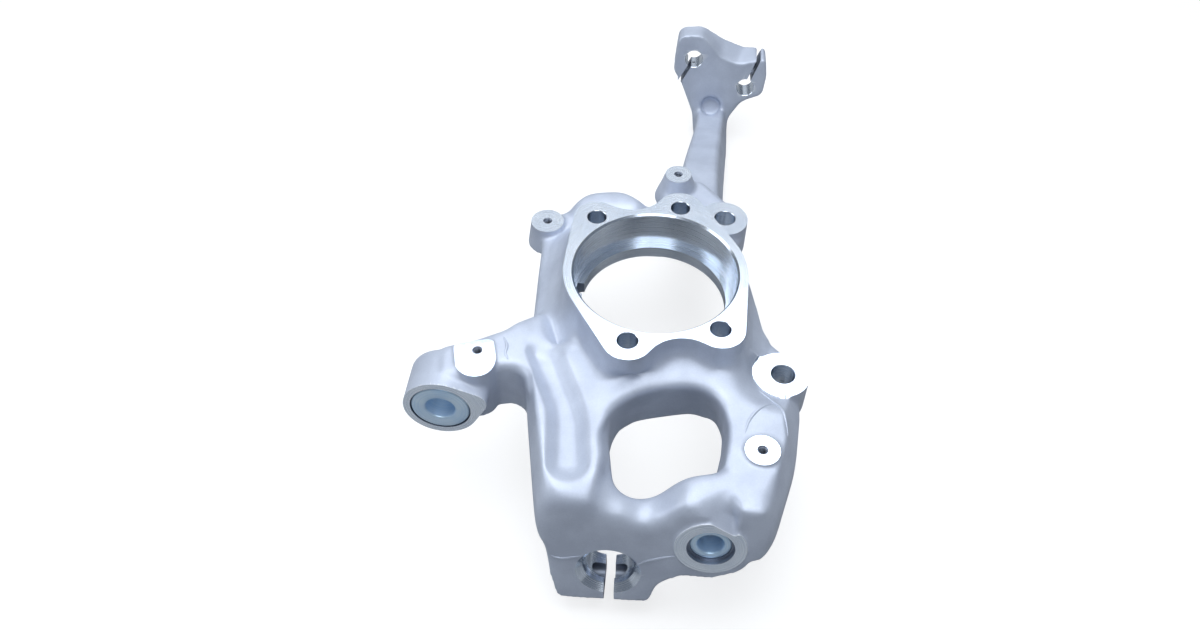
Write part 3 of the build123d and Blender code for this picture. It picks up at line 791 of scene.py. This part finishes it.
def new_tree(kind, name, inputs, outputs):
    """An empty node tree, the sockets that it is given and the node that takes its results."""
    tree = bpy.data.node_groups.new(name, kind)
    for in_out, sockets in (("INPUT", inputs), ("OUTPUT", outputs)):
        for label, socket in sockets:
            tree.interface.new_socket(label, in_out=in_out, socket_type="NodeSocket" + socket)
    return tree, tree.nodes.new("NodeGroupInput").outputs, tree.nodes.new("NodeGroupOutput")


def closed(tree, out, results):
    """Wires the results of a tree to its output."""
    for label, result in results.items():
        tree.links.new(result, out.inputs[label])
    return tree


def ended(tree, out, geometry, material):
    """Ends a geometry tree: instances made real, then the material set."""
    real = node(tree, "GeometryNodeRealizeInstances", {0: geometry})
    coated = node(tree, "GeometryNodeSetMaterial", {"Geometry": real.outputs[0], "Material": material})
    return closed(tree, out, {"Geometry": coated.outputs[0]})


def grown(name, seeds, edges, tree, values, vectors=None):
    """Runs a tree on a few seed points and returns the plain mesh it makes, as an object."""
    mesh = bpy.data.meshes.new(name)
    mesh.from_pydata(seeds, edges, [])
    if vectors:
        write_vectors(mesh, "axis", "POINT", vectors)
    seed = object_of(name + "_seed", mesh)
    modifier = seed.modifiers.new("grow", "NODES")
    modifier.node_group = tree
    for item in tree.interface.items_tree:
        if item.in_out == "INPUT" and item.name in values:
            modifier[item.identifier] = values[item.name]
    made = applied(seed, name)
    made.data.shade_smooth()
    return made


print("helpers ready for", [kind.__name__ for kind in (node, maths, new_tree, grown)])

# %% [markdown]
# The first tree winds one thread and sets it in every tapped hole, turned to the hole's axis. The
# second drops a drawn line onto the casting along a direction and gives it a low round ridge that
# thins out towards its ends.

# %% The two trees
THREAD = {"Radius": 2.5 * MM, "Pitch": 1.0 * MM, "Depth": 12.5 * MM, "Ridge": 0.42 * MM}
RIDGE_R, RIDGE_SINK = 1.2, 0.45
RIDGE_TAPER = 0.35
RAY_MM = 200
GEOMETRY = [("Geometry", "Geometry")]


def thread_tree():
    """Winds a thread along local z and sets one at every point, along the point's axis."""
    tree, given, out = new_tree(
        "GeometryNodeTree", "thread_in_holes",
        GEOMETRY + [("Radius", "Float"), ("Pitch", "Float"), ("Depth", "Float"), ("Ridge", "Float"),
                    ("Metal", "Material")],
        GEOMETRY,
    )
    turns = maths(tree, "DIVIDE", given["Depth"], given["Pitch"])
    spiral = node(tree, "GeometryNodeCurveSpiral", {
        "Resolution": 28, "Rotations": turns, "Start Radius": given["Radius"],
        "End Radius": given["Radius"], "Height": given["Depth"]})
    section = node(tree, "GeometryNodeCurvePrimitiveCircle", {"Resolution": 4, "Radius": given["Ridge"]})
    wound = node(tree, "GeometryNodeCurveToMesh", {
        0: spiral.outputs[0], 1: section.outputs[0], "Fill Caps": True})
    axis = node(tree, "GeometryNodeInputNamedAttribute", {"Name": "axis"}, data_type="FLOAT_VECTOR")
    turn = node(tree, "FunctionNodeAlignRotationToVector", {"Vector": axis.outputs[0]}, axis="Z")
    points = node(tree, "GeometryNodeMeshToPoints", {0: given["Geometry"]})
    placed = node(tree, "GeometryNodeInstanceOnPoints", {
        0: points.outputs[0], "Instance": wound.outputs[0], "Rotation": turn.outputs[0]})
    return ended(tree, out, placed.outputs[0], given["Metal"])


def ridge_tree():
    """Drops a line onto a surface along a direction and gives it a low ridge with thin ends."""
    tree, given, out = new_tree(
        "GeometryNodeTree", "parting_ridge",
        GEOMETRY + [("Surface", "Object"), ("Down", "Vector"), ("Radius", "Float"), ("Sink", "Float"),
                    ("Metal", "Material")],
        GEOMETRY,
    )
    line = node(tree, "GeometryNodeMeshToCurve", {0: given["Geometry"]})
    bent = node(tree, "GeometryNodeCurveSplineType", {0: line.outputs[0]}, spline_type="CATMULL_ROM")
    even = node(tree, "GeometryNodeResampleCurve", {0: bent.outputs[0], "Length": MM}, mode="LENGTH")
    surface = node(tree, "GeometryNodeObjectInfo", {"Object": given["Surface"]})
    hit = node(tree, "GeometryNodeRaycast", {
        0: surface.outputs["Geometry"], "Ray Direction": given["Down"], "Ray Length": RAY_MM * MM})
    sunk = node(tree, "ShaderNodeVectorMath", {0: given["Down"], "Scale": given["Sink"]}, operation="SCALE")
    missed = node(tree, "FunctionNodeBooleanMath", {0: hit.outputs["Is Hit"]}, operation="NOT")
    kept = node(tree, "GeometryNodeDeleteGeometry", {
        0: even.outputs[0], "Selection": missed.outputs[0]})
    laid = node(tree, "GeometryNodeSetPosition", {
        0: kept.outputs[0], "Position": hit.outputs["Hit Position"], "Offset": sunk.outputs[0]})
    share = node(tree, "GeometryNodeSplineParameter").outputs["Factor"]
    arch = maths(tree, "MULTIPLY", share, maths(tree, "SUBTRACT", 1.0, share))
    thick = maths(tree, "POWER", maths(tree, "MULTIPLY", arch, 4.0), RIDGE_TAPER)
    section = node(tree, "GeometryNodeCurvePrimitiveCircle", {"Resolution": 8, "Radius": given["Radius"]})
    ridge = node(tree, "GeometryNodeCurveToMesh", {
        0: laid.outputs[0], 1: section.outputs[0], "Scale": thick, "Fill Caps": True})
    return ended(tree, out, ridge.outputs[0], given["Metal"])


THREADS, RIDGES = thread_tree(), ridge_tree()
print("trees:", THREADS.name, RIDGES.name)

# %% [markdown]
# Now the trees are put to work. The threads start a little under the mouths of the four tapped
# holes and run down them. The ridges of the front are seen on the tie-rod arm and beside the lower
# caliper boss, and are dropped straight back. Those of the bottom flange run to both sides of its
# clamp, and are dropped along its own axis.

# %% Threads in the tapped holes, ridges on the casting
THREAD_START = -0.8
starts = [at @ (UP * THREAD_START * MM) for at in TAPS]
downs = [at.to_3x3() @ -UP for at in TAPS]
threads = grown("tapped_threads", starts, [], THREADS, {**THREAD, "Metal": sawn_metal_and_painted_shade}, downs)

FRONT_LINES_Z = -20.0
LINE_LIFT = 30
FRONT_RIDGES = [
    [(-99.1, -20.1), (-97.5, -27.8), (-99.2, -34.2), (-97.6, -39.5)],
    [(28.6, -116.1), (33.5, -107.4), (41.4, -100.2), (52.0, -95.1)],
    [(47.1, -80.9), (52.7, -90.1), (55.1, -100.4), (54.6, -111.7), (53.0, -120.9)],
]
FLANGE_RIDGES = [
    [(-41.3, -160.3, -73.4), (-35.8, -160.7, -68.3), (-27.6, -162.1, -64.4), (-18.6, -163.9, -61.2)],
    [(-88.6, -147.3, -70.6), (-82.7, -149.0, -71.8), (-76.2, -150.4, -70.0), (-70.6, -151.5, -68.2)],
]


def ridges(name, lines, down):
    """Lays every line of a list on the casting as one piece, dropped along a direction."""
    seeds, edges = [], []
    for line in lines:
        edges += [(len(seeds) + i, len(seeds) + i + 1) for i in range(len(line) - 1)]
        seeds += [Vector(spot) * MM - down * LINE_LIFT * MM for spot in line]
    sizes = {"Radius": RIDGE_R * MM, "Sink": RIDGE_SINK * MM}
    values = {"Surface": knuckle, "Down": down, "Metal": cast_metal, **sizes}
    return grown(name, seeds, edges, RIDGES, values)


front_lines = [[(x, y, FRONT_LINES_Z) for x, y in line] for line in FRONT_RIDGES]
front_ridges = ridges("cast_ridges_front", front_lines, -UP)
flange_ridges = ridges("cast_ridges_flange", FLANGE_RIDGES, FLANGE.to_3x3() @ -UP)
for made in (threads, front_ridges, flange_ridges):
    print(made.name, "faces:", len(made.data.polygons))

# %% [markdown]
# ## The pressed-in sleeves
# The tie rod and the ball joint sit in steel sleeves, which are pressed into the soft aluminium. Both
# are lathe work: a tube with small chamfers at its mouths. A Bevel modifier on the CAD tube could
# round its edges, but its facets are coarse, so each sleeve is turned anew from its own section, with
# rounded corners that catch the light, and set where the record puts the bore.

# %% Turned sleeves
SLEEVE_CHAMFER = 0.8
SLEEVE_CORNER = 0.15
SLEEVE_STEPS = 144
SLEEVE_SHARP = math.radians(50)
TIE_SLEEVE_R, JOINT_SLEEVE_R = 18.0, 11.8


def sleeve_profile(outer, inner, long):
    """Closed section of a sleeve between its face at height 0 and its far end."""
    c = SLEEVE_CHAMFER
    outside = [(outer - c, 0), (outer, -c), (outer, c - long), (outer - c, -long)]
    inside = [(inner + c, -long), (inner, c - long), (inner, -c), (inner + c, 0)]
    corners = [Vector(corner) for corner in outside + inside]
    section = []
    for i, here in enumerate(corners):
        for other in (corners[i - 1], corners[(i + 1) % len(corners)]):
            section.append(here + (other - here).normalized() * SLEEVE_CORNER)
    return section


def sleeve(name, node, outer, inner, long, at):
    """A sleeve as a closed ring of its section."""
    bm = bmesh.new()
    section = sleeve_profile(outer, inner, long)
    rings = []
    for k in range(SLEEVE_STEPS):
        a = 2 * math.pi * k / SLEEVE_STEPS
        rings.append([bm.verts.new(round_spot(at, r, z, a)) for r, z in section])
    for k, ring in enumerate(rings):
        ahead = rings[(k + 1) % SLEEVE_STEPS]
        for i in range(len(section)):
            j = (i + 1) % len(section)
            bm.faces.new([ring[i], ahead[i], ahead[j], ring[j]])
    bmesh.ops.recalc_face_normals(bm, faces=bm.faces)
    made = finished(bm, name)
    write_vectors(made.data, "tool_at", "FACE", [at.translation] * len(made.data.polygons))
    write_vectors(made.data, "tool_axis", "FACE", [at.to_3x3() @ UP] * len(made.data.polygons))
    made.data.shade_smooth()
    made.data.set_sharp_from_angle(angle=SLEEVE_SHARP)
    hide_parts(node)
    return made


step_deep = JOINT_STEP[1]
tie_sleeve = sleeve(
    "turned_tie_rod_sleeve", "tie_rod_sleeve", TIE_SLEEVE_R, size_of("tie_rod_bore"),
    TIE_BOSS_LONG, TIE,
)
joint_sleeve = sleeve(
    "turned_ball_joint_sleeve", "ball_joint_sleeve", JOINT_SLEEVE_R, size_of("ball_joint_bore"),
    FLANGE_THICK - step_deep, JOINT @ Matrix.Translation((0, 0, -step_deep * MM)),
)
print("sleeve faces:", len(tie_sleeve.data.polygons), len(joint_sleeve.data.polygons))

# %% [markdown]
# ## Finishes
# Two shader groups carry what the finishes share. Photographs of metal could be wrapped round the
# part, but they would blur close up and know nothing of its tools. The first group is the grain of a
# blasted casting: fine peening dents over a slow drift in tone. The second draws the rings that a
# tool leaves, from the distance of a point to its tool's axis.

# %% Shader groups
def spread(tree, value, low, high, to_low=0.0, to_high=1.0):
    """A value moved from one range to another."""
    ranges = {"Value": value, "From Min": low, "From Max": high, "To Min": to_low, "To Max": to_high}
    return node(tree, "ShaderNodeMapRange", ranges).outputs[0]


def blend(tree, share, dark, light):
    """A colour between two colours."""
    return node(tree, "ShaderNodeMix", {0: share, 6: dark, 7: light}, data_type="RGBA").outputs[2]


def noise(tree, values, **settings):
    """The grey value of a noise texture."""
    return node(tree, "ShaderNodeTexNoise", values, **settings).outputs["Fac"]


def vector_maths(tree, operation, *values):
    """The results of a vector math node on a few vectors."""
    return node(tree, "ShaderNodeVectorMath", dict(enumerate(values)), operation=operation).outputs


def grain_group():
    """Blasted skin: a colour that drifts, a roughness that flickers and the height of fine dents."""
    tree, given, out = new_tree(
        "ShaderNodeTree", "blasted_grain",
        [("Position", "Vector"), ("Dent Size mm", "Float"), ("Drift Size mm", "Float"),
         ("Light Tone", "Color"), ("Dark Tone", "Color"), ("Roughness", "Float")],
        [("Colour", "Color"), ("Roughness", "Float"), ("Height", "Float")],
    )
    where = given["Position"]
    fine = maths(tree, "DIVIDE", 1 / MM, given["Dent Size mm"])
    slow = maths(tree, "DIVIDE", 1 / MM, given["Drift Size mm"])
    dents = noise(tree, {"Vector": where, "Scale": fine, "Detail": 3.0, "Roughness": 0.6})
    drift = noise(tree, {"Vector": where, "Scale": slow, "Detail": 4.0, "Roughness": 0.55})
    tone = spread(tree, drift, 0.35, 0.65)
    speck = spread(tree, dents, 0.3, 0.7, -0.18, 0.18)
    share = maths(tree, "ADD", tone, speck, use_clamp=True)
    flicker = spread(tree, dents, 0.3, 0.7, 0.06, -0.06)
    return closed(tree, out, {
        "Colour": blend(tree, share, given["Dark Tone"], given["Light Tone"]),
        "Roughness": maths(tree, "ADD", given["Roughness"], flicker), "Height": dents})


def tool_group():
    """Fine rings round the axis of the tool that cut a face, with a little scatter."""
    tree, given, out = new_tree(
        "ShaderNodeTree", "tool_rings",
        [("Position", "Vector"), ("Tool At", "Vector"), ("Tool Axis", "Vector"),
         ("Feed mm", "Float"), ("Roughness", "Float")],
        [("Tone", "Float"), ("Roughness", "Float"), ("Height", "Float")],
    )
    where, axis = given["Position"], given["Tool Axis"]
    off = vector_maths(tree, "SUBTRACT", where, given["Tool At"])[0]
    side = vector_maths(tree, "CROSS_PRODUCT", off, axis)[0]
    reach = vector_maths(tree, "LENGTH", side)["Value"]
    drop = vector_maths(tree, "DOT_PRODUCT", off, axis)["Value"]
    feed = maths(tree, "MULTIPLY", given["Feed mm"], MM)
    turns = maths(tree, "DIVIDE", maths(tree, "ADD", reach, drop), feed)
    line = noise(tree, {"W": turns, "Scale": 1.0, "Detail": 2.0}, noise_dimensions="1D")
    stain = noise(tree, {"Vector": where, "Scale": 60.0, "Detail": 3.0})
    flick = spread(tree, line, 0.3, 0.7, -0.05, 0.08)
    return closed(tree, out, {
        "Tone": spread(tree, maths(tree, "MULTIPLY", line, stain), 0.1, 0.4),
        "Roughness": maths(tree, "ADD", given["Roughness"], flick), "Height": line})


BLASTED, RINGS = grain_group(), tool_group()
print("groups:", BLASTED.name, RINGS.name)

# %% [markdown]
# The casting is satin and bluish, and its edges beside a cut get a painted highlight. The milled faces
# are the brightest, the sawn slits and the threads stay dull, the groove and the counterbore round the
# sleeves take the same dark tone as painted shade, and the sleeves have the pale blue of zinc plating.
# Each could be one plain colour, but it is the small change in tone and gloss that says metal, so
# three of the four take it from the groups.

# %% Materials of the casting, the cut faces and the sleeves
CAST_LIGHT, CAST_DARK = (0.57, 0.625, 0.74, 1), (0.47, 0.52, 0.63, 1)
# pale tone of the painted highlight beside the cuts
PAINTED_EDGE_HIGHLIGHT = (0.92, 0.94, 0.97, 1)
CUT_LIGHT, CUT_DARK = (0.86, 0.92, 1.0, 1), (0.7, 0.78, 0.9, 1)
ZINC_LIGHT, ZINC_DARK = (0.74, 0.88, 1.0, 1), (0.5, 0.7, 0.92, 1)
# dull tone of sawn metal, also used as painted shade in the groove and counterbore round the sleeves
SAWN_AND_SHADE_TONE = (0.34, 0.38, 0.46, 1)


def principled(material, values):
    """A cleared node tree with a Principled BSDF wired to the output."""
    material.use_nodes = True
    tree = material.node_tree
    tree.nodes.clear()
    shader = node(tree, "ShaderNodeBsdfPrincipled", values)
    node(tree, "ShaderNodeOutputMaterial", {"Surface": shader.outputs[0]})
    return tree, shader


def dressed(tree, shader, colour, group, strength, depth_mm):
    """Gives a shader its colour, and the roughness and the bumps that a group makes."""
    height = {"Strength": strength, "Distance": depth_mm * MM, "Height": group["Height"]}
    tree.links.new(colour, shader.inputs["Base Color"])
    tree.links.new(group["Roughness"], shader.inputs["Roughness"])
    tree.links.new(node(tree, "ShaderNodeBump", height).outputs[0], shader.inputs["Normal"])


def cast_finish(material):
    """Satin blasted aluminium, with a painted highlight where it meets a machined face."""
    tree, shader = principled(material, {"Metallic": 0.25})
    grain = node(tree, "ShaderNodeGroup", node_tree=BLASTED)
    for label, value in (("Dent Size mm", 0.9), ("Drift Size mm", 26.0), ("Roughness", 0.42),
                         ("Light Tone", CAST_LIGHT), ("Dark Tone", CAST_DARK)):
        grain.inputs[label].default_value = value
    tree.links.new(node(tree, "ShaderNodeTexCoord").outputs["Object"], grain.inputs["Position"])
    # painted highlight: near a cut the cast colour is blended up to half way to a pale tone
    edge = node(tree, "ShaderNodeAttribute", attribute_name="painted_edge_highlight").outputs["Fac"]
    colour = blend(tree, spread(tree, edge, 0.4, 1.0, 0.0, 0.5), grain.outputs["Colour"], PAINTED_EDGE_HIGHLIGHT)
    dressed(tree, shader, colour, grain.outputs, strength=0.25, depth_mm=0.12)


def turned_finish(material, light, dark, feed_mm, rough, strength, metallic=1.0):
    """Bright metal with the rings of its tool."""
    tree, shader = principled(material, {"Metallic": metallic})
    marks = node(tree, "ShaderNodeGroup", node_tree=RINGS)
    marks.inputs["Feed mm"].default_value = feed_mm
    marks.inputs["Roughness"].default_value = rough
    tree.links.new(node(tree, "ShaderNodeTexCoord").outputs["Object"], marks.inputs["Position"])
    for label, name in (("Tool At", "tool_at"), ("Tool Axis", "tool_axis")):
        source = node(tree, "ShaderNodeAttribute", attribute_name=name)
        tree.links.new(source.outputs["Vector"], marks.inputs[label])
    colour = blend(tree, marks.outputs["Tone"], dark, light)
    dressed(tree, shader, colour, marks.outputs, strength, depth_mm=0.05)


zinc = bpy.data.materials.new("zinc_plated_steel")
cast_finish(cast_metal)
turned_finish(cut_metal, CUT_LIGHT, CUT_DARK, feed_mm=0.5, rough=0.2, strength=0.2)
turned_finish(zinc, ZINC_LIGHT, ZINC_DARK, feed_mm=0.6, rough=0.34, strength=0.3, metallic=0.55)
principled(sawn_metal_and_painted_shade, {"Base Color": SAWN_AND_SHADE_TONE, "Metallic": 1.0, "Roughness": 0.45})
for made in (tie_sleeve, joint_sleeve):
    made.data.materials.append(zinc)
print("materials:", [m.name for m in (cast_metal, cut_metal, sawn_metal_and_painted_shade, zinc)])

# %% [markdown]
# ## Floor and light
# The photograph is a plain studio shot: a white surround, a broad soft light from above and behind,
# and little from the camera's side, so faces that look at the camera are the darkest. A floor as
# white as that would light the part from below. So the floor and the world are only pale, and a
# Light Path node lifts them to white for the rays that come straight from the camera.

# %% Studio
FLOOR_TONE = (0.34, 0.345, 0.35, 1)
FLOOR_GLOW = 0.72
FLOOR_HALF = 3.0
SKY_TONE = (0.78, 0.87, 1.0, 1)
SKY_LIGHT, SKY_SEEN = 0.2, 1.2
LIGHT_TINT = (0.94, 0.97, 1.0)
LIGHTS = [
    ("overhead", (0.0, 0.32, 1.1), (0.0, 0.32, 0.0), 1.2, 14.0),
    ("front top", (-0.1, -0.6, 1.15), (0.0, -0.1, 0.0), 0.9, 5.5),
    ("back sheet", (0.2, 1.65, 0.85), (0.1, 0.0, 0.0), 1.3, 3.0),
    ("left", (-1.2, 0.3, 0.7), (0.0, 0.0, -0.05), 0.7, 4.0),
]

sheet = bmesh.new()
corners = [(-FLOOR_HALF, -FLOOR_HALF), (FLOOR_HALF, -FLOOR_HALF)]
corners += [(FLOOR_HALF, FLOOR_HALF), (-FLOOR_HALF, FLOOR_HALF)]
sheet.faces.new([sheet.verts.new((x, y, CAD_BOX[0][2])) for x, y in corners])
floor = finished(sheet, "floor")
pale = bpy.data.materials.new("pale_floor")
tree, shader = principled(pale, {
    "Base Color": FLOOR_TONE, "Roughness": 0.6, "Emission Color": (1, 1, 1, 1)})
seen = node(tree, "ShaderNodeLightPath").outputs["Is Camera Ray"]
glow = maths(tree, "MULTIPLY", seen, FLOOR_GLOW)
tree.links.new(glow, shader.inputs["Emission Strength"])
floor.data.materials.append(pale)

for name, spot, target, size, watts in LIGHTS:
    lamp = bpy.data.objects.new(name, bpy.data.lights.new(name, "AREA"))
    lamp.data.size = size
    lamp.data.energy = watts
    lamp.data.color = LIGHT_TINT
    lamp.location = spot
    lamp.rotation_euler = (Vector(target) - Vector(spot)).to_track_quat("-Z", "Y").to_euler()
    bpy.context.scene.collection.objects.link(lamp)

world = bpy.data.worlds.new("studio")
bpy.context.scene.world = world
world.use_nodes = True
sky = world.node_tree
background = sky.nodes["Background"].inputs
background["Color"].default_value = SKY_TONE
seen = node(sky, "ShaderNodeLightPath").outputs["Is Camera Ray"]
level = spread(sky, seen, 0.0, 1.0, SKY_LIGHT, SKY_SEEN)
sky.links.new(level, background["Strength"])
bpy.context.scene.view_settings.view_transform = "Standard"
print("lights:", [entry[0] for entry in LIGHTS])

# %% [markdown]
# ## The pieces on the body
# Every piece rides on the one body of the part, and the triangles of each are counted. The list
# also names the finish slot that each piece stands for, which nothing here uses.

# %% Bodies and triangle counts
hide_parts("knuckle_casting")
PIECES = [(made, "cast_aluminium") for made in (knuckle, threads, front_ridges, flange_ridges)]
PIECES += [(made, "plated_steel") for made in (tie_sleeve, joint_sleeve)]
for piece, slot in PIECES:
    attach(piece, "root")
    piece.data.calc_loop_triangles()
    print(piece.name, "triangles:", len(piece.data.loop_triangles))
